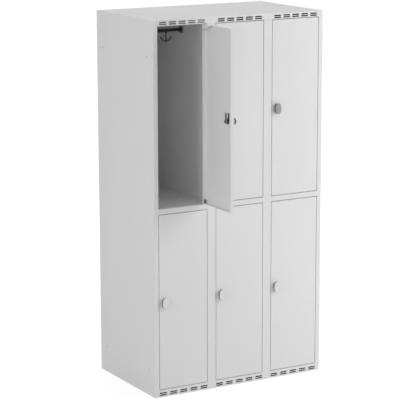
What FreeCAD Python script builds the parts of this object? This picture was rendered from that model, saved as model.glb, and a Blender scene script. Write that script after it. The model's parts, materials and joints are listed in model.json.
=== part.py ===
import FreeCAD, Part
import math
import os

os.makedirs("parts", exist_ok=True)

# Double tier locker in painted sheet steel: three columns of two compartments
# behind six flush doors. X runs to the right, Y to the back and Z up, in
# millimetres. The origin is the middle of the footprint, on the ground.

# Overall size
locker_width = 900.0
locker_depth = 550.0
locker_height = 1740.0

# Columns and tiers, named from left to right and from the ground up
column_names = ["left", "centre", "right"]
tier_names = ["lower", "upper"]

# Sheet metal
panel_sheet = 1.0
frame_sheet = 1.2
fold_radius = 0.6
weld_flange = 18.0

# Face frame
stile_width = 22.0
top_rail_height = 28.0
mid_rail_height = 25.0
bottom_rail_height = 35.0
rail_depth = 30.0
rail_foot_depth = 25.0
mid_rail_lap = 12.0
roof_ledge_depth = 15.0
stop_lip_width = 12.0
stop_lip_depth = 5.7

# Clearances
door_gap = 2.5
seat_gap = 0.3
running_clearance = 0.05
assembly_gap = 0.3
cut_overrun = 2.0

# Ventilation slots in the top and bottom rails
slots_per_row = 5
top_slot_pitch_share = 0.192
bottom_slot_pitch_share = 0.211
slot_length_share = 0.1445
slot_height = 6.0
slot_corner_share = 0.8
slot_row_pitch = 9.0
top_slots_from_roof = 15.5
bottom_slots_from_ground = 15.0

# Holes that join one locker to the next
joining_hole_radius = 3.5
joining_hole_setback = 60.0
joining_hole_from_ground = 124.0
joining_hole_from_roof = 168.0

# Floor bearer, a hat section under the floor
bearer_width = 60.0
bearer_flange = 12.0

# Doors
door_sheet = 1.0
door_depth = 16.0
door_fold_radius = 2.0
free_lip_width = 15.0
buffer_radius = 3.5
buffer_thickness = 2.2
buffer_from_door_end = 60.0

# Door pivots
pivot_setback = 6.0
pivot_pin_radius = 2.5
pivot_pin_reach = 18.0
pivot_collar_radius = 5.0
upper_collar_thickness = 1.2
pivot_bush_width = 10.0
pivot_bush_height = 15.0
pivot_strap_sheet = 2.0
pivot_strap_width = 13.0
pivot_strap_height = 20.0
gusset_sheet = 1.5
gusset_length = 75.0
gusset_height = 28.0
gusset_edge_inset = 0.3
gusset_tip_height = 4.0
strap_top_share = 0.45

# Turn knob
knob_from_door_edge = 25.5
knob_width = 31.0
knob_height = 50.0
knob_thickness = 11.0
knob_shoulder_width_share = 0.72
knob_shoulder_height_share = 0.86
knob_corner_radius = 5.0
knob_rim_radius = 2.2
knob_neck_radius = 9.0
knob_neck_length = 4.5
spindle_radius = 6.0
spindle_stub_radius = 4.0

# Lock barrel, its nut and the plate that ties its end to the door's lip
barrel_radius = 9.0
barrel_flange_radius = 12.0
barrel_flange_thickness = 1.5
barrel_end_depth = 18.0
tie_plate_width = 12.0
tie_plate_rise = 38.0
tie_plate_from_door_edge = 10.5
tie_plate_boss_radius = 14.0
tie_plate_thickness = 2.0
barrel_nut_across_flats = 24.0
barrel_nut_thickness = 5.0

# Nuts are hexagons
nut_sides = 6

# Latch cam on the spindle's inner end
cam_gap = 0.8
cam_thickness = 2.5
cam_width = 12.0
cam_reach = 40.0
cam_hub_radius = 9.0
cam_nut_across_flats = 13.0
cam_nut_thickness = 4.0

# Hook rail, its wall brackets and its double hooks
hook_rail_drop = 53.0
hook_rail_height = 14.0
hook_rail_thickness = 5.0
rail_ferrule_length = 8.0
rail_ferrule_wall = 2.5
bracket_height = 33.0
bracket_width = 36.0
bracket_thickness = 2.0
bracket_corner_radius = 4.0
hook_spacing = 130.0
hook_pad_width = 11.0
hook_pad_thickness = 2.5
hook_stem_width = 6.0
hook_stem_thickness = 4.5
hook_drop = 42.0
hook_pad_lap = 4.0
hook_half_span = 27.0
hook_rise = 17.0
hook_rod_radius = 2.6
hook_tip_radius = 3.4

# How the locker stands: the upper left door is open with its latch turned up,
# and the other doors are shut with their latches turned in from the frame
open_door = ("upper", "left")
open_door_angle = 90.0
open_lock_turn = 90.0

# Places that follow from the sizes
column_count = len(column_names)
tier_count = len(tier_names)
column_width = locker_width / column_count
opening_width = column_width - 2 * stile_width
rails_height = top_rail_height + bottom_rail_height + (tier_count - 1) * mid_rail_height
opening_height = (locker_height - rails_height) / tier_count
left_x = -locker_width / 2
right_x = locker_width / 2
front_y = -locker_depth / 2
back_y = locker_depth / 2
back_panel_y = back_y - 2 * panel_sheet
roof_under_z = locker_height - panel_sheet
floor_top_z = bottom_rail_height - frame_sheet
stop_face_y = front_y + door_depth + buffer_thickness + seat_gap
latch_face_y = stop_face_y + stop_lip_depth
door_width = opening_width - 2 * door_gap
door_height = opening_height - 2 * door_gap
top_slot_pitch = opening_width * top_slot_pitch_share
bottom_slot_pitch = opening_width * bottom_slot_pitch_share
slot_length = opening_width * slot_length_share
along_x = FreeCAD.Vector(1, 0, 0)
along_y = FreeCAD.Vector(0, 1, 0)
along_z = FreeCAD.Vector(0, 0, 1)


def point(x, y, z):
    return FreeCAD.Vector(x, y, z)


def opening_left(column):
    return left_x + column * column_width + stile_width


def opening_bottom(tier):
    return bottom_rail_height + tier * (opening_height + mid_rail_height)


def compartment_walls(column):
    """The faces of the left and right walls inside one column."""
    left_sheet = panel_sheet if column == 0 else panel_sheet / 2
    right_sheet = panel_sheet if column == column_count - 1 else panel_sheet / 2
    start = left_x + column * column_width
    return start + left_sheet, start + column_width - right_sheet


def block(start, end):
    size = end - start
    return Part.makeBox(size.x, size.y, size.z, start)


def rod(radius, start, end):
    along = end - start
    return Part.makeCylinder(radius, along.Length, start, along)


def joined(shapes):
    return shapes[0].fuse(shapes[1:]).removeSplitter()


def rounded_outline(corners, radii):
    """A closed wire through the corners, each rounded to its own radius."""
    edges = []
    last_end = None
    first_start = None
    for place, corner in enumerate(corners):
        before = (corners[place - 1] - corner).normalize()
        after = (corners[(place + 1) % len(corners)] - corner).normalize()
        radius = radii[place]
        start, end = corner, corner
        if radius > 0:
            half_angle = before.getAngle(after) / 2
            start = corner + before * (radius / math.tan(half_angle))
            end = corner + after * (radius / math.tan(half_angle))
            inward = (before + after).normalize()
            middle = corner + inward * (radius / math.sin(half_angle) - radius)
        if last_end is not None:
            edges.append(Part.LineSegment(last_end, start).toShape())
        if radius > 0:
            edges.append(Part.Arc(start, middle, end).toShape())
        if first_start is None:
            first_start = start
        last_end = end
    edges.append(Part.LineSegment(last_end, first_start).toShape())
    return Part.Wire(edges)


def folded_sheet(face_line, sheet, run):
    """A sheet folded along the corners of its outer face and run out straight.

    The sheet's thickness lies to the left of the line, seen with the run
    coming towards the eye, and to the right if the thickness is negative.
    """
    axis = FreeCAD.Vector(run).normalize()
    sides = []
    for start, end in zip(face_line, face_line[1:]):
        sides.append(axis.cross((end - start).normalize()))
    inner_line = [face_line[0] + sides[0] * sheet]
    face_radii = [0]
    inner_radii = [0]
    for place in range(1, len(face_line) - 1):
        before, after = sides[place - 1], sides[place]
        shift = (before + after) * (sheet / (1 + before.dot(after)))
        inner_line.append(face_line[place] + shift)
        turn = axis.dot(before.cross(after)) * sheet
        face_radii.append(fold_radius + abs(sheet) if turn > 0 else fold_radius)
        inner_radii.append(fold_radius if turn > 0 else fold_radius + abs(sheet))
    inner_line.append(face_line[-1] + sides[-1] * sheet)
    face_radii.append(0)
    inner_radii.append(0)
    outline = rounded_outline(face_line + inner_line[::-1], face_radii + inner_radii[::-1])
    return Part.Face(outline).extrude(run)


def save(node, shape):
    shape.exportStep("parts/" + node + ".step")


# Side panels: flat sheets, with the holes that join one locker to the next
def side_panel(outer_x, inward):
    edges = sorted([outer_x, outer_x + inward * panel_sheet])
    panel = block(point(edges[0], stop_face_y, 0), point(edges[1], back_y, locker_height))
    for hole_y in (front_y + joining_hole_setback, back_y - joining_hole_setback):
        for hole_z in (joining_hole_from_ground, locker_height - joining_hole_from_roof):
            start = point(outer_x - cut_overrun, hole_y, hole_z)
            end = point(outer_x + cut_overrun, hole_y, hole_z)
            panel = panel.cut(rod(joining_hole_radius, start, end))
    return panel


# Side stiles: channels round the front corners, each welded to its side panel
def side_stile(outer_x, inward):
    opening_edge_x = outer_x + inward * stile_width
    face_line = [
        point(opening_edge_x, stop_face_y, 0),
        point(opening_edge_x, front_y, 0),
        point(outer_x, front_y, 0),
        point(outer_x, stop_face_y, 0),
    ]
    stile = folded_sheet(face_line, -inward * panel_sheet, along_z * locker_height)
    roof_edges = sorted([outer_x + inward * panel_sheet, opening_edge_x + inward * cut_overrun])
    roof_seat_start = point(roof_edges[0], front_y + panel_sheet, roof_under_z)
    roof_seat_end = point(roof_edges[1], stop_face_y + cut_overrun, locker_height + cut_overrun)
    return stile.cut(block(roof_seat_start, roof_seat_end))


save("left_side_panel", side_panel(left_x, 1))
save("right_side_panel", side_panel(right_x, -1))
save("side_stiles", Part.makeCompound([side_stile(left_x, 1), side_stile(right_x, -1)]))


# Middle stiles: channels between the columns
def middle_stile(centre_x):
    bottom = bottom_rail_height
    top = locker_height - top_rail_height
    face_line = [
        point(centre_x - stile_width, stop_face_y, bottom),
        point(centre_x - stile_width, front_y, bottom),
        point(centre_x + stile_width, front_y, bottom),
        point(centre_x + stile_width, stop_face_y, bottom),
    ]
    return folded_sheet(face_line, frame_sheet, along_z * (top - bottom))


# Partitions: flat sheets from the stiles to the back
def partition(centre_x):
    start = point(centre_x - panel_sheet / 2, front_y + frame_sheet, floor_top_z)
    end = point(centre_x + panel_sheet / 2, back_panel_y, roof_under_z)
    notch_start = point(centre_x - cut_overrun, front_y, 0)
    notch_end = point(centre_x + cut_overrun, front_y + rail_depth + assembly_gap, bottom_rail_height)
    head_start = point(centre_x - cut_overrun, front_y, locker_height - top_rail_height)
    head_end = point(centre_x + cut_overrun, notch_end.y, locker_height)
    return block(start, end).cut([block(notch_start, notch_end), block(head_start, head_end)])


for boundary, side_name in ((1, "left"), (2, "right")):
    boundary_x = left_x + boundary * column_width
    save(side_name + "_middle_stile", middle_stile(boundary_x))
    save(side_name + "_partition", partition(boundary_x))


# Stop lips: angles behind the doors' free edges, which stop the doors on one
# leg and hold the latches with the end of the other
def stop_lip(column, tier):
    edge_x = opening_left(column)
    bottom = opening_bottom(tier)
    face_line = [
        point(edge_x - frame_sheet, stop_face_y, bottom),
        point(edge_x + stop_lip_width, stop_face_y, bottom),
        point(edge_x + stop_lip_width, latch_face_y, bottom),
    ]
    return folded_sheet(face_line, frame_sheet, along_z * opening_height)


# Rails: channels across the front, the top and bottom ones slotted for air
def slot(centre_x, centre_z):
    half_length = slot_length / 2
    half_height = slot_height / 2
    depth = along_y * (frame_sheet + 2 * cut_overrun)
    start_y = front_y - cut_overrun
    corners = [
        point(centre_x - half_length, start_y, centre_z - half_height),
        point(centre_x + half_length, start_y, centre_z - half_height),
        point(centre_x + half_length, start_y, centre_z + half_height),
        point(centre_x - half_length, start_y, centre_z + half_height),
    ]
    corner_radius = half_height * slot_corner_share
    return Part.Face(rounded_outline(corners, [corner_radius] * len(corners))).extrude(depth)


def slotted(rail, middle_z, slot_pitch):
    cuts = []
    for column in range(column_count):
        column_centre_x = opening_left(column) + opening_width / 2
        for place in range(slots_per_row):
            slot_x = column_centre_x + (place - (slots_per_row - 1) / 2) * slot_pitch
            for row in (-1, 1):
                cuts.append(slot(slot_x, middle_z + row * slot_row_pitch / 2))
    return rail.cut(cuts)


frame_left_x = left_x + stile_width
frame_right_x = right_x - stile_width
frame_run = along_x * (frame_right_x - frame_left_x)


def top_rail():
    bottom = locker_height - top_rail_height
    ledge_z = roof_under_z
    face = folded_sheet([
        point(frame_left_x, front_y, locker_height),
        point(frame_left_x, front_y, bottom),
        point(frame_left_x, front_y + rail_depth, bottom),
    ], frame_sheet, frame_run)
    ledge_start = point(frame_left_x, front_y + frame_sheet / 2, ledge_z - frame_sheet)
    ledge_end = point(frame_right_x, front_y + roof_ledge_depth, ledge_z)
    rail = joined([face, block(ledge_start, ledge_end)])
    return slotted(rail, locker_height - top_slots_from_roof, top_slot_pitch)


def bottom_rail():
    rail = folded_sheet([
        point(frame_left_x, front_y + rail_depth, bottom_rail_height),
        point(frame_left_x, front_y, bottom_rail_height),
        point(frame_left_x, front_y, 0),
        point(frame_left_x, front_y + rail_foot_depth, 0),
    ], frame_sheet, frame_run)
    return slotted(rail, bottom_slots_from_ground, bottom_slot_pitch)


def mid_rail(column):
    start_x = opening_left(column)
    bottom = opening_bottom(0) + opening_height
    top = bottom + mid_rail_height
    return folded_sheet([
        point(start_x, front_y + rail_depth + mid_rail_lap, top),
        point(start_x, front_y, top),
        point(start_x, front_y, bottom),
        point(start_x, front_y + rail_depth, bottom),
    ], frame_sheet, along_x * opening_width)


save("top_rail", top_rail())
save("bottom_rail", bottom_rail())
save("mid_rails", Part.makeCompound([mid_rail(column) for column in range(column_count)]))


# Tier shelves: trays under the mid rails' upper edges, each the floor of the
# upper compartment and the roof of the lower one
def tier_shelf(column):
    left_wall, right_wall = compartment_walls(column)
    top = opening_bottom(1) - frame_sheet
    under = top - panel_sheet
    flange_bottom = top - weld_flange
    start_y = front_y + rail_depth + assembly_gap
    rear_y = back_panel_y - panel_sheet
    shapes = [
        block(point(left_wall, start_y, under), point(right_wall, rear_y, top)),
        block(point(left_wall, start_y, flange_bottom), point(left_wall + panel_sheet, rear_y, top)),
        block(point(right_wall - panel_sheet, start_y, flange_bottom), point(right_wall, rear_y, top)),
        block(point(left_wall, rear_y - panel_sheet, flange_bottom), point(right_wall, rear_y, top)),
    ]
    return joined(shapes)


for column, column_name in enumerate(column_names):
    save(column_name + "_tier_shelf", tier_shelf(column))


# Floor, its bearer, the back and the roof
def floor_panel():
    under = floor_top_z - panel_sheet
    flange_bottom = floor_top_z - weld_flange
    left_wall = left_x + panel_sheet
    right_wall = right_x - panel_sheet
    main_start_y = front_y + rail_depth + assembly_gap
    tongue_start_y = front_y + frame_sheet + fold_radius + frame_sheet
    tongue_left = frame_left_x + assembly_gap
    tongue_right = frame_right_x - assembly_gap
    shapes = [
        block(point(left_wall, main_start_y, under), point(right_wall, back_panel_y, floor_top_z)),
        block(point(tongue_left, tongue_start_y, under), point(tongue_right, main_start_y, floor_top_z)),
    ]
    for flange_x in (left_wall, right_wall - panel_sheet):
        start = point(flange_x, main_start_y, flange_bottom)
        end = point(flange_x + panel_sheet, back_panel_y, floor_top_z)
        shapes.append(block(start, end))
    return joined(shapes)


def floor_bearer():
    start_y = front_y + rail_depth + assembly_gap
    end_y = back_panel_y - weld_flange - assembly_gap
    flange_z = floor_top_z - 2 * panel_sheet
    half_width = bearer_width / 2
    face_line = [
        point(-half_width - bearer_flange, start_y, flange_z),
        point(-half_width, start_y, flange_z),
        point(-half_width, start_y, 0),
        point(half_width, start_y, 0),
        point(half_width, start_y, flange_z),
        point(half_width + bearer_flange, start_y, flange_z),
    ]
    return folded_sheet(face_line, -panel_sheet, along_y * (end_y - start_y))


def back_panel():
    start = point(left_x + panel_sheet, back_panel_y, 0)
    end = point(right_x - panel_sheet, back_panel_y + panel_sheet, locker_height)
    return block(start, end)


def roof_panel():
    start_y = front_y + frame_sheet
    flange_start_y = front_y + rail_depth + assembly_gap
    edge_x = right_x - panel_sheet
    flange_bottom = locker_height - weld_flange
    cap_line = [
        point(edge_x, flange_start_y, flange_bottom),
        point(edge_x, flange_start_y, locker_height),
        point(-edge_x, flange_start_y, locker_height),
        point(-edge_x, flange_start_y, flange_bottom),
    ]
    cap = folded_sheet(cap_line, -panel_sheet, along_y * (back_panel_y - flange_start_y))
    front_start = point(-edge_x, start_y, roof_under_z)
    front_end = point(edge_x, flange_start_y, locker_height)
    return joined([cap, block(front_start, front_end)])


save("floor_panel", floor_panel())
save("floor_bearer", floor_bearer())
save("back_panel", back_panel())
save("roof_panel", roof_panel())


# Weld flanges: strips along the rear and bottom edges of the sides, behind the
# partitions and along the foot of the back
def weld_flanges():
    strips = []
    foot_start_y = front_y + rail_depth + assembly_gap
    foot_end_y = back_panel_y - weld_flange
    for outer_x, inward in ((left_x, 1), (right_x, -1)):
        edges = sorted([outer_x + inward * panel_sheet, outer_x + inward * weld_flange])
        rear_start = point(edges[0], back_y - panel_sheet, 0)
        strips.append(block(rear_start, point(edges[1], back_y, locker_height)))
        foot_start = point(edges[0], foot_start_y, 0)
        strips.append(block(foot_start, point(edges[1], foot_end_y - assembly_gap, panel_sheet)))
    for boundary in range(1, column_count):
        face_x = left_x + boundary * column_width + panel_sheet / 2
        end_x = face_x + weld_flange - panel_sheet
        start = point(face_x, back_panel_y - panel_sheet, floor_top_z)
        strips.append(block(start, point(end_x, back_panel_y, roof_under_z)))
    foot_left = point(left_x + panel_sheet, foot_end_y, 0)
    strips.append(block(foot_left, point(right_x - panel_sheet, back_panel_y, panel_sheet)))
    return strips


save("weld_flanges", Part.makeCompound(weld_flanges()))


# Doors: shallow pans folded from one sheet, with a lip turned in along the
# free edge
def door_box(column, tier):
    """The lowest and highest corners of a shut door."""
    start = point(opening_left(column) + door_gap, front_y, opening_bottom(tier) + door_gap)
    return start, start + point(door_width, door_depth, door_height)


def pivot_place(column, tier):
    start, end = door_box(column, tier)
    return point(end.x - pivot_setback, front_y + pivot_setback, start.z)


def lock_place(column, tier):
    start, end = door_box(column, tier)
    return point(start.x + knob_from_door_edge, front_y, (start.z + end.z) / 2)


def edges_on_front(shape, y):
    """The edges of a shape that lie in the upright plane at y."""
    near = door_sheet / 100
    return [edge for edge in shape.Edges if all(abs(v.Y - y) < near for v in edge.Vertexes)]


def door_panel(column, tier):
    start, end = door_box(column, tier)
    wall = point(door_sheet, door_sheet, door_sheet)
    outer = block(start, end)
    outer = outer.makeFillet(door_fold_radius, edges_on_front(outer, start.y))
    inner = block(start + wall, end - wall)
    inner = inner.makeFillet(door_fold_radius - door_sheet, edges_on_front(inner, start.y + door_sheet))
    back_start = point(start.x + free_lip_width, end.y - cut_overrun, start.z + door_sheet)
    back_end = point(end.x - door_sheet, end.y + cut_overrun, end.z - door_sheet)
    pan = outer.cut([inner, block(back_start, back_end)])
    lock = lock_place(column, tier)
    reach = along_y * cut_overrun
    pan = pan.cut(rod(barrel_radius + assembly_gap, lock - reach, lock + reach))
    pivot = pivot_place(column, tier)
    low = point(pivot.x, pivot.y, start.z - cut_overrun)
    high = point(pivot.x, pivot.y, end.z + cut_overrun)
    return pan.cut(rod(pivot_pin_radius + running_clearance, low, high))


# Hinge fittings on each door: a bush round each pin, a strap and a gusset
def hinge_fittings(column, tier):
    start, end = door_box(column, tier)
    pivot = pivot_place(column, tier)
    bush_right = end.x - door_sheet
    bush_front = start.y + door_fold_radius
    bush_back = end.y
    bore_low = point(pivot.x, pivot.y, start.z - cut_overrun)
    bore_high = point(pivot.x, pivot.y, end.z + cut_overrun)
    bore = rod(pivot_pin_radius + running_clearance, bore_low, bore_high)
    fittings = []
    for bush_bottom in (start.z + door_sheet, end.z - door_sheet - pivot_bush_height):
        low = point(bush_right - pivot_bush_width, bush_front, bush_bottom)
        high = point(bush_right, bush_back, bush_bottom + pivot_bush_height)
        fittings.append(block(low, high).cut(bore))
    strap_right = end.x - gusset_edge_inset
    strap_left = strap_right - pivot_strap_width
    strap_bottom = start.z + gusset_edge_inset
    strap_top = strap_bottom + pivot_strap_height
    strap_line = [
        point(strap_left, end.y, strap_bottom),
        point(strap_right, end.y, strap_bottom),
        point(strap_right, end.y, strap_top),
        point(strap_left, end.y, strap_top),
    ]
    top_radius = pivot_strap_width * strap_top_share
    strap = Part.Face(rounded_outline(strap_line, [0, 0, top_radius, top_radius]))
    fittings.append(strap.extrude(along_y * pivot_strap_sheet))
    gusset_top = end.z - gusset_edge_inset
    gusset_line = [
        point(strap_right, end.y, gusset_top),
        point(strap_right, end.y, gusset_top - gusset_height),
        point(strap_right - gusset_length, end.y, gusset_top - gusset_tip_height),
        point(strap_right - gusset_length, end.y, gusset_top),
    ]
    gusset = Part.Face(rounded_outline(gusset_line, [0] * len(gusset_line)))
    fittings.append(gusset.extrude(along_y * gusset_sheet))
    return Part.makeCompound(fittings)


# Lock housing: a flanged barrel through the door, its nut inside the pan, and
# a plate that ties the barrel's end to the lip of the free edge
def hexagon(across_flats, thickness, centre):
    half_angle = math.pi / nut_sides
    corner_radius = across_flats / (2 * math.cos(half_angle))
    corners = []
    for place in range(nut_sides):
        angle = 2 * half_angle * place
        shift = point(corner_radius * math.cos(angle), 0, corner_radius * math.sin(angle))
        corners.append(centre + shift)
    return Part.Face(rounded_outline(corners, [0] * len(corners))).extrude(along_y * thickness)


def lock_housing(column, tier):
    centre = lock_place(column, tier)
    barrel_end = centre + along_y * barrel_end_depth
    flange_start = centre - along_y * barrel_flange_thickness
    tube = rod(barrel_radius, flange_start, barrel_end)
    barrel = joined([tube, rod(barrel_flange_radius, flange_start, centre)])
    barrel = barrel.cut(rod(spindle_radius + running_clearance, flange_start, barrel_end))
    plate_start = centre + along_y * door_depth
    plate_end = plate_start + along_y * tie_plate_thickness
    strip_start = point(door_box(column, tier)[0].x + tie_plate_from_door_edge, plate_start.y, centre.z)
    strip = block(strip_start, strip_start + point(tie_plate_width, tie_plate_thickness, tie_plate_rise))
    plate = joined([strip, rod(tie_plate_boss_radius, plate_start, plate_end)])
    clear_barrel = rod(barrel_radius + assembly_gap, centre, plate_end)
    nut = hexagon(barrel_nut_across_flats, barrel_nut_thickness, centre + along_y * door_sheet)
    return Part.makeCompound([barrel, plate.cut(clear_barrel), nut.cut(clear_barrel)])


# Turn knob: an oval cap on a round neck, in one piece with its spindle
def turn_knob(column, tier):
    centre = lock_place(column, tier)
    neck_end = centre - along_y * (barrel_flange_thickness + seat_gap)
    cap_back = neck_end - along_y * knob_neck_length
    half_width = knob_width / 2
    half_height = knob_height / 2
    shoulder_x = half_width * knob_shoulder_width_share
    shoulder_z = half_height * knob_shoulder_height_share
    sides = []
    turns = ((1, 1), (-1, 1), (-1, -1), (1, -1))
    for place, (sign_x, sign_z) in enumerate(turns):
        next_x, next_z = turns[(place + 1) % len(turns)]
        middle = point(0, 0, sign_z * half_height)
        if next_x == sign_x:
            middle = point(sign_x * half_width, 0, 0)
        shoulder = point(sign_x * shoulder_x, 0, sign_z * shoulder_z)
        next_shoulder = point(next_x * shoulder_x, 0, next_z * shoulder_z)
        sides.append(Part.Arc(cap_back + shoulder, cap_back + middle, cap_back + next_shoulder).toShape())
    cap = Part.Face(Part.Wire(sides)).extrude(along_y * -knob_thickness)
    upright = [edge for edge in cap.Edges if len(edge.Vertexes) == 2
               and abs(edge.Vertexes[0].Y - edge.Vertexes[1].Y) > knob_thickness / 2]
    cap = cap.makeFillet(knob_corner_radius, upright)
    cap = cap.makeFillet(knob_rim_radius, edges_on_front(cap, cap_back.y - knob_thickness))
    cam_seat = point(centre.x, latch_face_y + cam_gap, centre.z)
    stub_end = cam_seat + along_y * (cam_thickness + cam_nut_thickness)
    shank = [rod(knob_neck_radius, cap_back, neck_end), rod(spindle_radius, cap_back, cam_seat)]
    return joined([cap] + shank + [rod(spindle_stub_radius, cam_seat, stub_end)])


# Latch cam: a flat arm on the spindle's end, held by a nut
def latch_cam(column, tier):
    centre = lock_place(column, tier)
    seat = point(centre.x, latch_face_y + cam_gap, centre.z)
    back = seat + along_y * cam_thickness
    tip = point(cam_reach - cam_width / 2, 0, 0)
    half_arm = point(0, 0, cam_width / 2)
    arm = block(seat - half_arm, back + half_arm + tip)
    cam = joined([arm, rod(cam_hub_radius, seat, back), rod(cam_width / 2, seat + tip, back + tip)])
    stub_end = back + along_y * (cam_nut_thickness + cut_overrun)
    clear_stub = rod(spindle_stub_radius + running_clearance, seat, stub_end)
    nut = hexagon(cam_nut_across_flats, cam_nut_thickness, back)
    return Part.makeCompound([cam.cut(clear_stub), nut.cut(clear_stub)])


# Each door's pieces are made shut and then turned to the way the locker stands
def save_door(column, tier):
    key = (tier_names[tier], column_names[column])
    name = key[0] + "_" + key[1] + "_"
    fixed_pieces = {
        "door": door_panel(column, tier),
        "hinge_fittings": hinge_fittings(column, tier),
        "lock_housing": lock_housing(column, tier),
    }
    turning_pieces = {
        "turn_knob": turn_knob(column, tier),
        "latch_cam": latch_cam(column, tier),
    }
    if key == open_door:
        for piece in turning_pieces.values():
            piece.rotate(lock_place(column, tier), along_y * -1, open_lock_turn)
        for piece in list(fixed_pieces.values()) + list(turning_pieces.values()):
            piece.rotate(pivot_place(column, tier), along_z, open_door_angle)
    for piece_name, piece in list(fixed_pieces.items()) + list(turning_pieces.items()):
        save(name + piece_name, piece)


# Pivot pins stand on collars on the rails, and carry the doors
def pivot_pins(column, tier):
    pivot = pivot_place(column, tier)
    start, end = door_box(column, tier)
    opening_top = end.z + door_gap
    seat = point(pivot.x, pivot.y, start.z - door_gap)
    collar_top = seat + along_z * (door_gap - seat_gap)
    pin_top = point(pivot.x, pivot.y, start.z + pivot_pin_reach)
    head = point(pivot.x, pivot.y, opening_top)
    head_collar = head - along_z * upper_collar_thickness
    pin_bottom = point(pivot.x, pivot.y, end.z - pivot_pin_reach)
    lower = joined([rod(pivot_collar_radius, seat, collar_top), rod(pivot_pin_radius, seat, pin_top)])
    upper = joined([rod(pivot_collar_radius, head_collar, head), rod(pivot_pin_radius, pin_bottom, head)])
    return [lower, upper]


# Rubber buffers on the stop lips, where the doors come to rest
def door_buffers(column, tier):
    x = opening_left(column) + (door_gap + stop_lip_width) / 2
    bottom = opening_bottom(tier)
    buffers = []
    for z in (bottom + buffer_from_door_end, bottom + opening_height - buffer_from_door_end):
        seat = point(x, stop_face_y, z)
        buffers.append(rod(buffer_radius, seat - along_y * buffer_thickness, seat))
    return buffers


# Hook rails: flat bars from wall to wall at mid depth, with thicker ends
def rail_centre_z(tier):
    return opening_bottom(tier) + opening_height - hook_rail_drop


def hook_rail(column, tier):
    left_wall, right_wall = compartment_walls(column)
    middle_y = (front_y + back_y) / 2
    start = point(left_wall + bracket_thickness, middle_y, rail_centre_z(tier))
    end = point(right_wall - bracket_thickness, middle_y, rail_centre_z(tier))
    half_bar = point(0, hook_rail_thickness / 2, hook_rail_height / 2)
    half_ferrule = half_bar + point(0, rail_ferrule_wall, rail_ferrule_wall)
    ferrule = along_x * rail_ferrule_length
    return joined([
        block(start - half_bar, end + half_bar),
        block(start - half_ferrule, start + ferrule + half_ferrule),
        block(end - ferrule - half_ferrule, end + half_ferrule),
    ])


def rail_brackets(column, tier):
    left_wall, right_wall = compartment_walls(column)
    middle_y = (front_y + back_y) / 2
    z = rail_centre_z(tier)
    brackets = []
    for wall_x in (left_wall, right_wall - bracket_thickness):
        corners = []
        for sign_y, sign_z in ((-1, -1), (1, -1), (1, 1), (-1, 1)):
            corner_y = middle_y + sign_y * bracket_width / 2
            corners.append(point(wall_x, corner_y, z + sign_z * bracket_height / 2))
        outline = rounded_outline(corners, [bracket_corner_radius] * len(corners))
        brackets.append(Part.Face(outline).extrude(along_x * bracket_thickness))
    return brackets


# Double hooks: an upright stem under the rail with an arm to each side
def double_hook(centre_x, tier):
    rail_bottom_z = rail_centre_z(tier) - hook_rail_height / 2
    rail_front_y = (front_y + back_y - hook_rail_thickness) / 2
    hook_y = rail_front_y - hook_pad_thickness / 2
    pad_front_y = rail_front_y - hook_pad_thickness
    pad_start = point(centre_x - hook_pad_width / 2, pad_front_y, rail_bottom_z - hook_pad_lap)
    pad_end = point(centre_x + hook_pad_width / 2, rail_front_y, rail_bottom_z + hook_rail_height)
    foot = point(centre_x, hook_y, rail_bottom_z - hook_drop)
    half_stem = point(hook_stem_width / 2, hook_stem_thickness / 2, 0)
    stem = block(foot - half_stem, point(centre_x, hook_y, rail_bottom_z) + half_stem)
    arm_radius = (hook_half_span ** 2 + hook_rise ** 2) / (2 * hook_rise)
    arm_angle = math.degrees(math.atan2(hook_half_span, arm_radius - hook_rise))
    arm_centre = foot + along_z * arm_radius
    section = Part.Circle(foot, along_x, hook_rod_radius).toShape()
    section.rotate(arm_centre, along_y, arm_angle)
    arms = Part.Face(Part.Wire([section])).revolve(arm_centre, along_y, -2 * arm_angle)
    shapes = [block(pad_start, pad_end), stem, arms]
    for side in (-1, 1):
        tip = foot + point(side * hook_half_span, 0, hook_rise)
        shapes.append(Part.makeSphere(hook_tip_radius, tip))
    return joined(shapes)


lips, pins, buffers, brackets, hooks = [], [], [], [], []
for tier, tier_name in enumerate(tier_names):
    for column, column_name in enumerate(column_names):
        save_door(column, tier)
        save(tier_name + "_" + column_name + "_hook_rail", hook_rail(column, tier))
        lips.append(stop_lip(column, tier))
        pins += pivot_pins(column, tier)
        buffers += door_buffers(column, tier)
        brackets += rail_brackets(column, tier)
        middle_x = opening_left(column) + opening_width / 2
        for side in (-1, 1):
            hooks.append(double_hook(middle_x + side * hook_spacing / 2, tier))

save("stop_lips", Part.makeCompound(lips))
save("pivot_pins", Part.makeCompound(pins))
save("door_buffers", Part.makeCompound(buffers))
save("rail_brackets", Part.makeCompound(brackets))
save("coat_hooks", Part.makeCompound(hooks))
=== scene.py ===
import bpy
import bmesh
import json
from math import atan2, cos, pi, radians, sin
from mathutils import Matrix, Vector


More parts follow.
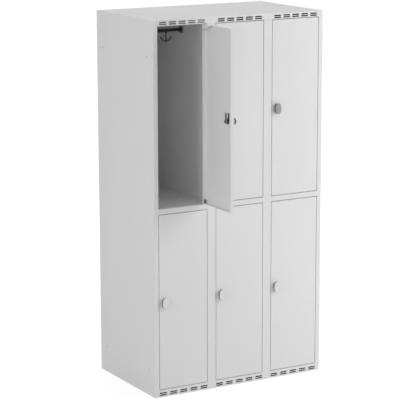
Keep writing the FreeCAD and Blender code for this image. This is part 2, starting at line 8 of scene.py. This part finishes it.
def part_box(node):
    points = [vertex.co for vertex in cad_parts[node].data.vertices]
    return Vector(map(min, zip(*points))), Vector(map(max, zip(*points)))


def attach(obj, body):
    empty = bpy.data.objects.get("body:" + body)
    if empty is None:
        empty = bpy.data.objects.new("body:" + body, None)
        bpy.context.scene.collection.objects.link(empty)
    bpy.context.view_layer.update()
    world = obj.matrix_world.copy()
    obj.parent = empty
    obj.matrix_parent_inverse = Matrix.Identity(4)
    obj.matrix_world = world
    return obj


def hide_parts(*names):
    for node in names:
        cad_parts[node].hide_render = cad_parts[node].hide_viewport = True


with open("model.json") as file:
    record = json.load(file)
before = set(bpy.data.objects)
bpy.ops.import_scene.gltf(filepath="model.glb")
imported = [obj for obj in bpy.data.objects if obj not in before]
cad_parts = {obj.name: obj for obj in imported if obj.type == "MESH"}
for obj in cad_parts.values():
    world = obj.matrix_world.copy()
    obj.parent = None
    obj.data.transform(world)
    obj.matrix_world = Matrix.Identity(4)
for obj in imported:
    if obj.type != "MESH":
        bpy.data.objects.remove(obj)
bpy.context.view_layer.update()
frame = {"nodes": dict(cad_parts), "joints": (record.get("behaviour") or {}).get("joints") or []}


# Carcass sheets: sides, partitions, back, roof, floor, bearer and shelves are
# cold-rolled steel about 1 mm thick, folded on a press and spot-welded. They
# are powder coated light grey after welding, inside and outside alike.
def linear(colour):
    """An sRGB hex colour as the linear values that a shader takes."""
    parts = [int(colour[place:place + 2], 16) / 255 for place in (1, 3, 5)]
    return [part / 12.92 if part <= 0.04045 else ((part + 0.055) / 1.055) ** 2.4 for part in parts] + [1]


def add(tree, kind, settings, links):
    """Adds one node, with its settings, its input values and its links."""
    made = tree.nodes.new(kind)
    for key, value in settings.items():
        if isinstance(key, str) and key in made.bl_rna.properties:
            setattr(made, key, value)
        else:
            made.inputs[key].default_value = value
    for key, source in links.items():
        tree.links.new(source, made.inputs[key])
    return made


def finish_of(name):
    """A new material, its node tree, its shader, and each point's own place in metres."""
    material = bpy.data.materials.new(name)
    material.use_nodes = True
    tree = material.node_tree
    shader = tree.nodes["Principled BSDF"]
    place = add(tree, "ShaderNodeTexCoord", {}, {}).outputs["Object"]
    return material, tree, shader, place


# Polyester powder coat: it levels out in the oven to a satin skin with a fine
# orange peel, so edges shine softly and nothing mirrors. Real peel has waves of
# 1 to 3 mm, here 2.5 mm. The sheet under it is flat only to a few tenths of a
# millimetre over a third of a metre, which bends the light on it slightly, and
# the coat's tone and gloss drift over about 200 mm.
coat_grey = "#E8E8E8"
coat_shade = "#E6E6E6"
coat_ior = 1.5
coat_smoothest = 0.42
coat_roughest = 0.52
peel_waves_per_metre = 400
peel_height = 0.000012
cloud_waves_per_metre = 5
sheet_waves_per_metre = 3
sheet_wave_height = 0.0004


def powder_coat(name):
    material, tree, shader, place = finish_of(name)
    clouds = add(tree, "ShaderNodeTexNoise", {"Scale": cloud_waves_per_metre, "Detail": 3},
                 {"Vector": place})
    blend = add(tree, "ShaderNodeMix",
                {"data_type": "RGBA", 6: linear(coat_grey), 7: linear(coat_shade)},
                {0: clouds.outputs[0]})
    gloss = add(tree, "ShaderNodeMapRange", {"To Min": coat_smoothest, "To Max": coat_roughest},
                {"Value": clouds.outputs[0]})
    waves = add(tree, "ShaderNodeTexNoise", {"Scale": sheet_waves_per_metre, "Detail": 1},
                {"Vector": place})
    peel = add(tree, "ShaderNodeTexNoise", {"Scale": peel_waves_per_metre, "Detail": 2},
               {"Vector": place})
    flatness = add(tree, "ShaderNodeBump", {"Strength": 1, "Distance": sheet_wave_height},
                   {"Height": waves.outputs[0]})
    skin = add(tree, "ShaderNodeBump", {"Strength": 1, "Distance": peel_height},
               {"Height": peel.outputs[0], "Normal": flatness.outputs[0]})
    shader.inputs["IOR"].default_value = coat_ior
    tree.links.new(blend.outputs[2], shader.inputs["Base Color"])
    tree.links.new(gloss.outputs[0], shader.inputs["Roughness"])
    tree.links.new(skin.outputs[0], shader.inputs["Normal"])
    return material


# A solid's faces come with their points apart. Points that lie this close are
# one, and two faces that meet at less than the sharp fold shade as one bend.
same_point = 0.000002
sharp_fold = radians(42)
flat_weight = 50


def dress(node, material):
    """Gives a solid node its material, and smooth shading over its rounded folds only."""
    piece = frame["nodes"][node]
    piece.data.materials.clear()
    piece.data.materials.append(material)
    for face in piece.data.polygons:
        face.use_smooth = True
        face.material_index = 0
    weld = piece.modifiers.new("join_faces", "WELD")
    weld.merge_threshold = same_point
    split = piece.modifiers.new("keep_edges", "EDGE_SPLIT")
    split.split_angle = sharp_fold
    flats = piece.modifiers.new("keep_flats", "WEIGHTED_NORMAL")
    flats.weight = flat_weight


sheet_coat = powder_coat("powder_coat_light_grey_carcass")
for sheet in ("left_side_panel", "right_side_panel", "left_partition", "right_partition", "back_panel",
              "roof_panel", "floor_panel", "floor_bearer", "weld_flanges", "left_tier_shelf",
              "centre_tier_shelf", "right_tier_shelf"):
    dress(sheet, sheet_coat)


# Face frame: folded channels of 1.2 mm steel welded in front of the sheets,
# with punched air slots along the top and bottom rails, and folded stop lips
# behind the doors' free edges. It has the same coat as the carcass.
frame_coat = powder_coat("powder_coat_light_grey_frame")
for member in ("side_stiles", "left_middle_stile", "right_middle_stile", "top_rail", "bottom_rail",
               "mid_rails", "stop_lips"):
    dress(member, frame_coat)


# Door buffers: small discs of black rubber pressed onto the stop lips, so that
# a shut door meets rubber and not steel.

# Black rubber moulded in a sanded tool: a dull skin that hardly shines, with a
# grain of about 0.4 mm.
rubber_dark = "#1E1E1F"
rubber_light = "#2C2C2D"
rubber_ior = 1.52
rubber_roughness = 0.85
rubber_grains_per_metre = 2500
rubber_grain_height = 0.00003


def buffer_rubber():
    material, tree, shader, place = finish_of("moulded_rubber_matt_black")
    grain = add(tree, "ShaderNodeTexNoise", {"Scale": rubber_grains_per_metre, "Detail": 2},
                {"Vector": place})
    tone = add(tree, "ShaderNodeMix",
               {"data_type": "RGBA", 6: linear(rubber_dark), 7: linear(rubber_light)},
               {0: grain.outputs[0]})
    skin = add(tree, "ShaderNodeBump", {"Strength": 1, "Distance": rubber_grain_height},
               {"Height": grain.outputs[0]})
    shader.inputs["IOR"].default_value = rubber_ior
    shader.inputs["Roughness"].default_value = rubber_roughness
    tree.links.new(tone.outputs[2], shader.inputs["Base Color"])
    tree.links.new(skin.outputs[0], shader.inputs["Normal"])
    return material


dress("door_buffers", buffer_rubber())


# Hook rails: flat black bars across the compartments at mid depth, with
# thicker moulded ends that sit in steel brackets on the walls.

# Glass-filled nylon comes off the tool with a fine spark-eroded grain, dull and
# even. The grain is about 0.3 mm, drawn at 0.5 mm so that a close view shows it.
nylon_ior = 1.53
nylon_smoothest = 0.45
nylon_roughest = 0.62
nylon_grains_per_metre = 2000
nylon_grain_height = 0.00002


def moulded_nylon(name, dark, light):
    material, tree, shader, place = finish_of(name)
    grain = add(tree, "ShaderNodeTexNoise", {"Scale": nylon_grains_per_metre, "Detail": 3},
                {"Vector": place})
    tone = add(tree, "ShaderNodeMix", {"data_type": "RGBA", 6: linear(dark), 7: linear(light)},
               {0: grain.outputs[0]})
    gloss = add(tree, "ShaderNodeMapRange", {"To Min": nylon_smoothest, "To Max": nylon_roughest},
                {"Value": grain.outputs[0]})
    skin = add(tree, "ShaderNodeBump", {"Strength": 1, "Distance": nylon_grain_height},
               {"Height": grain.outputs[0]})
    shader.inputs["IOR"].default_value = nylon_ior
    tree.links.new(tone.outputs[2], shader.inputs["Base Color"])
    tree.links.new(gloss.outputs[0], shader.inputs["Roughness"])
    tree.links.new(skin.outputs[0], shader.inputs["Normal"])
    return material


nylon = moulded_nylon("moulded_nylon_black_fine_grain", "#171718", "#242425")
tiers = ("lower", "upper")
columns = ("left", "centre", "right")
compartments = [tier + "_" + column for tier in tiers for column in columns]
for compartment in compartments:
    dress(compartment + "_hook_rail", nylon)


# Rail brackets: small plates of pressed steel with rounded corners, one on each
# wall, that carry the ends of the hook rails.

# Bright zinc plating keeps a soft spangle of about 3 mm and the faint lines of
# the rolled sheet, a quarter of a millimetre apart.
zinc_dark = "#A9ABAE"
zinc_light = "#C2C4C6"
zinc_smoothest = 0.3
zinc_roughest = 0.42
spangles_per_metre = 350
rolled_lines_per_metre = (300, 300, 4000)
rolled_line_height = 0.000006


def zinc_plate():
    material, tree, shader, place = finish_of("zinc_plated_steel_bright")
    spangle = add(tree, "ShaderNodeTexVoronoi", {"Scale": spangles_per_metre}, {"Vector": place})
    tone = add(tree, "ShaderNodeMix",
               {"data_type": "RGBA", 6: linear(zinc_dark), 7: linear(zinc_light)},
               {0: spangle.outputs["Distance"]})
    gloss = add(tree, "ShaderNodeMapRange", {"To Min": zinc_smoothest, "To Max": zinc_roughest},
                {"Value": spangle.outputs["Distance"]})
    rolled = add(tree, "ShaderNodeMapping", {"Scale": rolled_lines_per_metre}, {"Vector": place})
    lines = add(tree, "ShaderNodeTexNoise", {"Scale": 1, "Detail": 2}, {"Vector": rolled.outputs[0]})
    skin = add(tree, "ShaderNodeBump", {"Strength": 1, "Distance": rolled_line_height},
               {"Height": lines.outputs[0]})
    shader.inputs["Metallic"].default_value = 1
    tree.links.new(tone.outputs[2], shader.inputs["Base Color"])
    tree.links.new(gloss.outputs[0], shader.inputs["Roughness"])
    tree.links.new(skin.outputs[0], shader.inputs["Normal"])
    return material


dress("rail_brackets", zinc_plate())


# Double hooks: two on each rail, moulded in one piece of the same black nylon.
# A pad clips on the bar, and the stem under it carries an arm to each side
# that ends in a round tip, so a coat loop can't slip off.
tube_points = 20


def tube(mesh, path, widths, depths):
    """Adds a closed tube along a path in the X-Z plane, as wide and deep as stated at each step."""
    rings = []
    for step, middle in enumerate(path):
        before, after = path[max(step - 1, 0)], path[min(step + 1, len(path) - 1)]
        along = (after - before).normalized()
        across = along.cross(Vector((0, 1, 0)))
        ring = []
        for turn in range(tube_points):
            angle = 2 * pi * turn / tube_points
            reach = across * (cos(angle) * widths[step]) + Vector((0, sin(angle) * depths[step], 0))
            ring.append(mesh.verts.new(middle + reach))
        rings.append(ring)
    for lower, upper in zip(rings, rings[1:]):
        for turn in range(tube_points):
            after = (turn + 1) % tube_points
            mesh.faces.new((lower[turn], lower[after], upper[after], upper[turn]))
    mesh.faces.new(rings[0])
    mesh.faces.new(rings[-1])


def object_from(mesh, name):
    """Makes a smooth object from a bmesh, with all its faces turned outwards."""
    bmesh.ops.recalc_face_normals(mesh, faces=mesh.faces)
    data = bpy.data.meshes.new(name)
    mesh.to_mesh(data)
    mesh.free()
    for face in data.polygons:
        face.use_smooth = True
    made = bpy.data.objects.new(name, data)
    bpy.context.scene.collection.objects.link(made)
    return made


hook_half_span = 0.027
hook_rise = 0.017
hook_drop = 0.042
hook_arm_radius = 0.0027
arm_root_swell = 1.12
arm_taper = 0.24
hook_tip_radius = 0.0034
tip_rings = 12
pad_half_depth = 0.00125
bar_height = 0.014
stem_rows = ((-0.0425, 0.0042, 0.0026), (-0.036, 0.0032, 0.0024), (-0.02, 0.0029, 0.0022),
             (-0.004, 0.0034, 0.0022), (0.002, 0.0046, 0.0014))
pad_rows = ((-0.004, 0.0036, 0.001), (-0.003, 0.005, 0.0012), (0.0, 0.0055, pad_half_depth),
            (0.011, 0.0055, pad_half_depth), (0.013, 0.005, 0.0012), (bar_height, 0.0036, 0.001))
bar_front_y = -0.0025
hook_y = -0.00375
hook_spacing = 0.13
column_middles = (-0.3, 0.0, 0.3)
arm_steps = 40
moulding_step = 0.0006
joint_softness = 0.5
joint_rounds = 6


def double_hook_mesh():
    """One double hook, its stem's top end at the bar's lower edge, as a moulding with soft joints."""
    shape = bmesh.new()
    arc_radius = (hook_half_span ** 2 + hook_rise ** 2) / (2 * hook_rise)
    arc_middle = Vector((0, hook_y, arc_radius - hook_drop))
    half_angle = atan2(hook_half_span, arc_radius - hook_rise)
    arms, radii = [], []
    for step in range(arm_steps + 1):
        share = 2 * step / arm_steps - 1
        angle = share * half_angle
        arms.append(arc_middle + Vector((sin(angle), 0, -cos(angle))) * arc_radius)
        radii.append(hook_arm_radius * (arm_root_swell - arm_taper * abs(share)))
    tube(shape, arms, radii, radii)
    for side in (-1, 1):
        tip = Vector((side * hook_half_span, hook_y, hook_rise - hook_drop))
        bmesh.ops.create_uvsphere(shape, u_segments=tube_points, v_segments=tip_rings,
                                  radius=hook_tip_radius, matrix=Matrix.Translation(tip))
    # The stem and the pad, from the bottom up: height, half width, half depth.
    for middle_y, rows in ((hook_y, stem_rows), (bar_front_y - pad_half_depth, pad_rows)):
        heights, widths, depths = zip(*rows)
        tube(shape, [Vector((0, middle_y, height)) for height in heights], widths, depths)
    rough = object_from(shape, "double_hook_rough")
    merge = rough.modifiers.new("one_moulding", "REMESH")
    merge.mode = "VOXEL"
    merge.voxel_size = moulding_step
    merge.use_smooth_shade = True
    relax = rough.modifiers.new("soft_joints", "SMOOTH")
    relax.factor = joint_softness
    relax.iterations = joint_rounds
    graph = bpy.context.evaluated_depsgraph_get()
    data = bpy.data.meshes.new_from_object(rough.evaluated_get(graph))
    data.name = "double_hook"
    bpy.data.objects.remove(rough)
    data.materials.clear()
    data.materials.append(nylon)
    return data


hook_data = double_hook_mesh()
for tier in tiers:
    low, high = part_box(tier + "_left_hook_rail")
    bar_bottom = (low.z + high.z - bar_height) / 2
    for column, column_x in zip(columns, column_middles):
        for place, side in (("1", -1), ("2", 1)):
            hook = bpy.data.objects.new(tier + "_" + column + "_double_hook_" + place, hook_data)
            bpy.context.scene.collection.objects.link(hook)
            hook.location = (column_x + side * hook_spacing / 2, 0, bar_bottom)
            bpy.context.view_layer.update()
            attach(hook, "carcass")
            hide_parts("coat_hooks")


# Doors and their hinge fittings: shallow pans folded from 1 mm steel, with a lip
# along the free edge and a gusset and a small strap at the hinge corners. They
# are coated apart from the carcass, in the same grey.
door_coat = powder_coat("powder_coat_light_grey_doors")

# The bush round each pivot pin is moulded of the rails' nylon, here in grey. It
# stands inside the pan, so no face of it lies farther in from the pin than the
# bush's depth. The coated gusset and strap lie on the pan's back, beyond that.
grey_nylon = moulded_nylon("moulded_nylon_grey_fine_grain", "#747576", "#828384")
bush_depth_from_pin = 0.00995
hinges = {joint["child"]: Vector(joint["pos_m"]) for joint in frame["joints"]
          if joint["name"].endswith("_door_hinge")}
for compartment in compartments:
    dress(compartment + "_door", door_coat)
    dress(compartment + "_hinge_fittings", door_coat)
    fittings = frame["nodes"][compartment + "_hinge_fittings"]
    fittings.data.materials.append(grey_nylon)
    inward = Vector((-1, 0, 0)) if compartment == "upper_left" else Vector((0, 1, 0))
    for face in fittings.data.polygons:
        from_pin = fittings.matrix_world @ face.center - hinges[compartment + "_door"]
        face.material_index = 1 if from_pin.dot(inward) < bush_depth_from_pin else 0


# Locks and pivot pins: a flanged barrel through the door with a hexagon nut, a
# plate that ties it to the door's lip, and a flat cam on the spindle's end. All
# are turned or pressed steel, and plated, as are the pins the doors swing on.

# Zinc plating with a dark passivation: dull with a sheen. The bath leaves
# stains of about 5 mm and a grit of 0.3 mm.
passivated_dark = "#808284"
passivated_light = "#9A9C9E"
passivated_smoothest = 0.38
passivated_roughest = 0.55
stains_per_metre = 180
grit_per_metre = 3000
grit_height = 0.00001


def dark_zinc():
    material, tree, shader, place = finish_of("zinc_passivated_dark_grey")
    stains = add(tree, "ShaderNodeTexNoise", {"Scale": stains_per_metre, "Detail": 4},
                 {"Vector": place})
    tone = add(tree, "ShaderNodeMix",
               {"data_type": "RGBA", 6: linear(passivated_dark), 7: linear(passivated_light)},
               {0: stains.outputs[0]})
    gloss = add(tree, "ShaderNodeMapRange",
                {"To Min": passivated_smoothest, "To Max": passivated_roughest},
                {"Value": stains.outputs[0]})
    grit = add(tree, "ShaderNodeTexNoise", {"Scale": grit_per_metre, "Detail": 1}, {"Vector": place})
    skin = add(tree, "ShaderNodeBump", {"Strength": 1, "Distance": grit_height},
               {"Height": grit.outputs[0]})
    shader.inputs["Metallic"].default_value = 1
    tree.links.new(tone.outputs[2], shader.inputs["Base Color"])
    tree.links.new(gloss.outputs[0], shader.inputs["Roughness"])
    tree.links.new(skin.outputs[0], shader.inputs["Normal"])
    return material


passivated_zinc = dark_zinc()
dress("pivot_pins", passivated_zinc)
for compartment in compartments:
    dress(compartment + "_lock_housing", passivated_zinc)
    dress(compartment + "_latch_cam", passivated_zinc)


# Turn knobs: zinc die castings, an oval skirt on a round neck in one piece with
# the spindle that carries the cam. A satin cap is pressed over the skirt's
# front, and the skirt's back takes the cap's colour too. The rim between them
# stays dark: partly the casting's own skin, partly painted shade of the gap
# behind the knob.

# Die-cast zinc, tumbled: half dull, with dimples of 1 mm. Its dark tone is
# partly the casting's own, partly painted shade of the gap behind the knob.
rim_dark_and_painted_shade = "#3E3F41"
rim_light_and_painted_shade = "#505153"
casting_metal = 0.2
casting_roughness = 0.5
dimples_per_metre = 900
dimple_depth = 0.00003


def casting_skin_and_painted_shade():
    material, tree, shader, place = finish_of("zinc_die_casting_dark_skin_and_painted_shade")
    dimples = add(tree, "ShaderNodeTexNoise", {"Scale": dimples_per_metre, "Detail": 3},
                  {"Vector": place})
    tone = add(tree, "ShaderNodeMix",
               {"data_type": "RGBA", 6: linear(rim_dark_and_painted_shade), 7: linear(rim_light_and_painted_shade)},
               {0: dimples.outputs[0]})
    skin = add(tree, "ShaderNodeBump", {"Strength": 1, "Distance": dimple_depth},
               {"Height": dimples.outputs[0]})
    shader.inputs["Metallic"].default_value = casting_metal
    shader.inputs["Roughness"].default_value = casting_roughness
    tree.links.new(tone.outputs[2], shader.inputs["Base Color"])
    tree.links.new(skin.outputs[0], shader.inputs["Normal"])
    return material


# The caps are thin sheet, brushed upright and then lacquered, so they shine
# softly across the scratches. These are about 0.1 mm apart, drawn at 0.4 mm so
# that they show. Where the lacquer is worn, the darker metal comes through.
cap_roughness = 0.42
scratches_per_metre = (2500, 2500, 60)
scratch_depth = 0.00001


def satin_cap(name, dark, light, metal):
    material, tree, shader, place = finish_of(name)
    stretched = add(tree, "ShaderNodeMapping", {"Scale": scratches_per_metre}, {"Vector": place})
    scratches = add(tree, "ShaderNodeTexNoise", {"Scale": 1, "Detail": 3},
                    {"Vector": stretched.outputs[0]})
    tone = add(tree, "ShaderNodeMix", {"data_type": "RGBA", 6: linear(dark), 7: linear(light)},
               {0: scratches.outputs[0]})
    skin = add(tree, "ShaderNodeBump", {"Strength": 1, "Distance": scratch_depth},
               {"Height": scratches.outputs[0]})
    shader.inputs["Metallic"].default_value = metal
    shader.inputs["Roughness"].default_value = cap_roughness
    tree.links.new(tone.outputs[2], shader.inputs["Base Color"])
    tree.links.new(skin.outputs[0], shader.inputs["Normal"])
    return material


grip_half_width = 0.0155
grip_half_height = 0.025
grip_roundness = 2.3
knob_points = 72
sharp_rim = radians(50)

# Rings of the knob from its inner end outwards, each with its distance from the
# door's face. The round ones of spindle and neck have a radius, and the oval
# ones of skirt and cap a share of the grip's half width and half height.
round_rings = ((0.0315, 0.0034), (0.031, 0.004), (0.025, 0.004), (0.025, 0.006), (-0.0018, 0.006),
               (-0.0018, 0.0086), (-0.0022, 0.009), (-0.0052, 0.009), (-0.006, 0.0096))
skirt_rings = ((-0.0063, 0.9), (-0.0065, 0.96), (-0.0071, 0.985), (-0.0122, 0.985), (-0.0125, 0.965))
cap_rings = ((-0.0127, 0.965), (-0.0129, 0.99), (-0.0133, 1.0), (-0.0150, 0.99), (-0.0160, 0.967),
             (-0.0167, 0.93), (-0.0171, 0.88), (-0.0172, 0.8), (-0.01728, 0.5), (-0.0173, 0.2))


def knob_ring(mesh, depth, width, height, roundness):
    """One ring of a knob at its distance from the door's face, oval or round."""
    ring = []
    for turn in range(knob_points):
        angle = 2 * pi * turn / knob_points
        across, up = cos(angle), sin(angle)
        x = width * abs(across) ** (2 / roundness) * (1 if across >= 0 else -1)
        z = height * abs(up) ** (2 / roundness) * (1 if up >= 0 else -1)
        ring.append(mesh.verts.new((x, depth, z)))
    return ring


def knob_mesh(name, skin, cap):
    """A knob with its spindle, its axis through the origin and the door's face at zero."""
    shape = bmesh.new()
    rings = [knob_ring(shape, depth, radius, radius, 2) for depth, radius in round_rings]
    for depth, share in skirt_rings + cap_rings:
        rings.append(knob_ring(shape, depth, grip_half_width * share, grip_half_height * share,
                               grip_roundness))
    back_starts = len(round_rings)
    front_starts = back_starts + len(skirt_rings)
    for place, (inner, outer) in enumerate(zip(rings, rings[1:]), 1):
        # The cap's colour covers the front from its own first ring on, and the skirt's
        # back. The rim between keeps the dark skin, partly painted shade.
        capped = place >= front_starts or back_starts <= place <= back_starts + 1
        for turn in range(knob_points):
            after = (turn + 1) % knob_points
            face = shape.faces.new((inner[turn], inner[after], outer[after], outer[turn]))
            face.material_index = 1 if capped else 0
    shape.faces.new(rings[0])
    shape.faces.new(rings[-1]).material_index = 1
    knob = object_from(shape, name)
    knob.data.materials.append(skin)
    knob.data.materials.append(cap)
    split = knob.modifiers.new("keep_edges", "EDGE_SPLIT")
    split.split_angle = sharp_rim
    return knob


# The knobs' dark rim skin is partly painted shade of the gap behind them.
dark_skin_and_painted_shade = casting_skin_and_painted_shade()
light_cap = satin_cap("satin_cap_light_grey", "#E0E0E0", "#EBEBEB", 0.0)
worn_cap = satin_cap("satin_cap_zinc_grey", "#8F9193", "#A6A8AA", 0.4)
locks = {joint["child"]: joint for joint in frame["joints"] if joint["name"].endswith("_lock_turn")}
for compartment in compartments:
    turn_axis = Vector(locks[compartment + "_lock"]["axis"])
    centre = Vector(locks[compartment + "_lock"]["pos_m"])
    cap = worn_cap if compartment == "upper_right" else light_cap
    knob = knob_mesh(compartment + "_turn_grip", dark_skin_and_painted_shade, cap)
    # The open door's knob faces to the right, and lies a quarter turn over.
    upright = Matrix.Identity(4)
    if abs(turn_axis.x) > abs(turn_axis.y):
        quarter_turn = Matrix.Rotation(radians(90), 4, Vector((0, -1, 0)))
        upright = Matrix.Rotation(radians(90), 4, "Z") @ quarter_turn
    knob.matrix_world = Matrix.Translation(centre) @ upright
    bpy.context.view_layer.update()
    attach(knob, compartment + "_lock")
    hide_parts(compartment + "_turn_knob")


# The studio: a pale floor that runs out to the edge of sight, and daylight
# from a white room. To the camera the bare floor glows white, the more the
# farther it lies from the lamps, and it still takes the locker's soft shadow.
floor_half = 40.0
# Under the locker, up to its outer faces, the floor doesn't glow.
under_half_width = 0.449
under_half_depth = 0.274
floor_white = "#E6E6E6"
floor_pale = "#E9E9E9"
floor_shown = "#8C8C8C"
floor_clouds_per_metre = 2
glow_start = 1.2
glow_full = 6
least_glow = 0.84
most_glow = 0.98
floor_shape = bmesh.new()
corners = [floor_shape.verts.new((x * floor_half, y * floor_half, 0))
           for x, y in ((-1, -1), (1, -1), (1, 1), (-1, 1))]
floor_shape.faces.new(corners)
floor = object_from(floor_shape, "studio_floor")
floor_paint, tree, shader, place = finish_of("painted_floor_white")
tree.nodes.remove(shader)
mottle = add(tree, "ShaderNodeTexNoise", {"Scale": floor_clouds_per_metre, "Detail": 2},
             {"Vector": place})
tone = add(tree, "ShaderNodeMix",
           {"data_type": "RGBA", 6: linear(floor_white), 7: linear(floor_pale)},
           {0: mottle.outputs[0]})
matt = add(tree, "ShaderNodeBsdfDiffuse", {}, {"Color": tone.outputs[2]})
shown = add(tree, "ShaderNodeBsdfDiffuse", {"Color": linear(floor_shown)}, {})
axes = add(tree, "ShaderNodeSeparateXYZ", {}, {0: place})
left_right = add(tree, "ShaderNodeMath", {"operation": "ABSOLUTE"}, {0: axes.outputs["X"]})
front_back = add(tree, "ShaderNodeMath", {"operation": "ABSOLUTE"}, {0: axes.outputs["Y"]})
beside = add(tree, "ShaderNodeMath", {"operation": "GREATER_THAN", 1: under_half_width},
             {0: left_right.outputs[0]})
before = add(tree, "ShaderNodeMath", {"operation": "GREATER_THAN", 1: under_half_depth},
             {0: front_back.outputs[0]})
bare = add(tree, "ShaderNodeMath", {"operation": "MAXIMUM"},
           {0: beside.outputs[0], 1: before.outputs[0]})
reach = add(tree, "ShaderNodeVectorMath", {"operation": "LENGTH"}, {0: place})
lift = add(tree, "ShaderNodeMapRange",
           {"From Min": glow_start, "From Max": glow_full, "To Min": least_glow, "To Max": most_glow},
           {"Value": reach.outputs["Value"]})
level = add(tree, "ShaderNodeMath", {"operation": "MULTIPLY"},
            {0: bare.outputs[0], 1: lift.outputs[0]})
glow = add(tree, "ShaderNodeEmission", {}, {"Strength": level.outputs[0]})
seen = add(tree, "ShaderNodeAddShader", {}, {0: shown.outputs[0], 1: glow.outputs[0]})


def for_straight_rays(tree, otherwise, straight, output):
    """Shows one shader to camera, glossy and transmission rays, and another to the rest."""
    rays = add(tree, "ShaderNodeLightPath", {}, {})
    clear = add(tree, "ShaderNodeMath", {"operation": "MAXIMUM"},
                {0: rays.outputs["Is Camera Ray"], 1: rays.outputs["Is Transmission Ray"]})
    share = add(tree, "ShaderNodeMath", {"operation": "MAXIMUM"},
                {0: clear.outputs[0], 1: rays.outputs["Is Glossy Ray"]})
    choice = add(tree, "ShaderNodeMixShader", {},
                 {0: share.outputs[0], 1: otherwise.outputs[0], 2: straight.outputs[0]})
    tree.links.new(choice.outputs[0], tree.nodes[output].inputs["Surface"])


for_straight_rays(tree, matt, seen, "Material Output")
floor.data.materials.append(floor_paint)

room = bpy.data.worlds.new("white_room")
room.use_nodes = True
tree = room.node_tree
# The room's own light is low and even. Five soft boxes bring the rest.
room_light = 0.305
ambient = tree.nodes["Background"]
ambient.inputs["Color"].default_value = linear("#FFFFFF")
ambient.inputs["Strength"].default_value = room_light
white = add(tree, "ShaderNodeBackground", {"Color": linear("#FFFFFF"), "Strength": 1}, {})
for_straight_rays(tree, ambient, white, "World Output")
bpy.context.scene.world = room


def lamp(name, place, aim, width, height, watts):
    """A soft box at a place in the room, turned to face a point."""
    data = bpy.data.lights.new(name, "AREA")
    data.shape = "RECTANGLE"
    data.size = width
    data.size_y = height
    data.energy = watts
    made = bpy.data.objects.new(name, data)
    bpy.context.scene.collection.objects.link(made)
    made.location = place
    made.rotation_euler = (Vector(aim) - Vector(place)).to_track_quat("-Z", "Y").to_euler()
    made.visible_camera = False
    made.visible_glossy = False
    return made


lamp("right_front_soft_box", (2.0, -2.0, 1.6), (0.1, -0.3, 0.9), 1.4, 2.2, 41)
lamp("left_soft_box", (-4.1, -1.1, 1.8), (-0.4, -0.1, 0.9), 2.0, 2.4, 44)
lamp("front_soft_box", (-3.4, -5.2, 1.7), (-0.2, -0.4, 1.0), 2.0, 4.0, 33)
lamp("ceiling_soft_box", (0.0, -0.3, 4.5), (0.0, -0.1, 0.9), 2.5, 2.0, 22)
lamp("back_soft_box", (1.6, 3.8, 2.0), (0.1, 0.2, 0.9), 2.0, 2.4, 60)


# The camera stands to the left of the locker's front, above its top, with a
# long lens, and looks slightly down.
camera_tilt = 0.2078
camera_roll = 0.0016
camera_heading = -0.5249
lens = bpy.data.cameras.new("camera")
lens.sensor_width = 36
lens.lens = 154.14
lens.clip_end = 200
camera = bpy.data.objects.new("camera", lens)
bpy.context.scene.collection.objects.link(camera)
camera.location = (-4.16825, -7.18617, 2.55003)
camera.rotation_euler = (pi / 2 - camera_tilt, camera_roll, camera_heading)
bpy.context.scene.camera = camera
bpy.context.scene.view_settings.view_transform = "Standard"

bpy.context.view_layer.update()
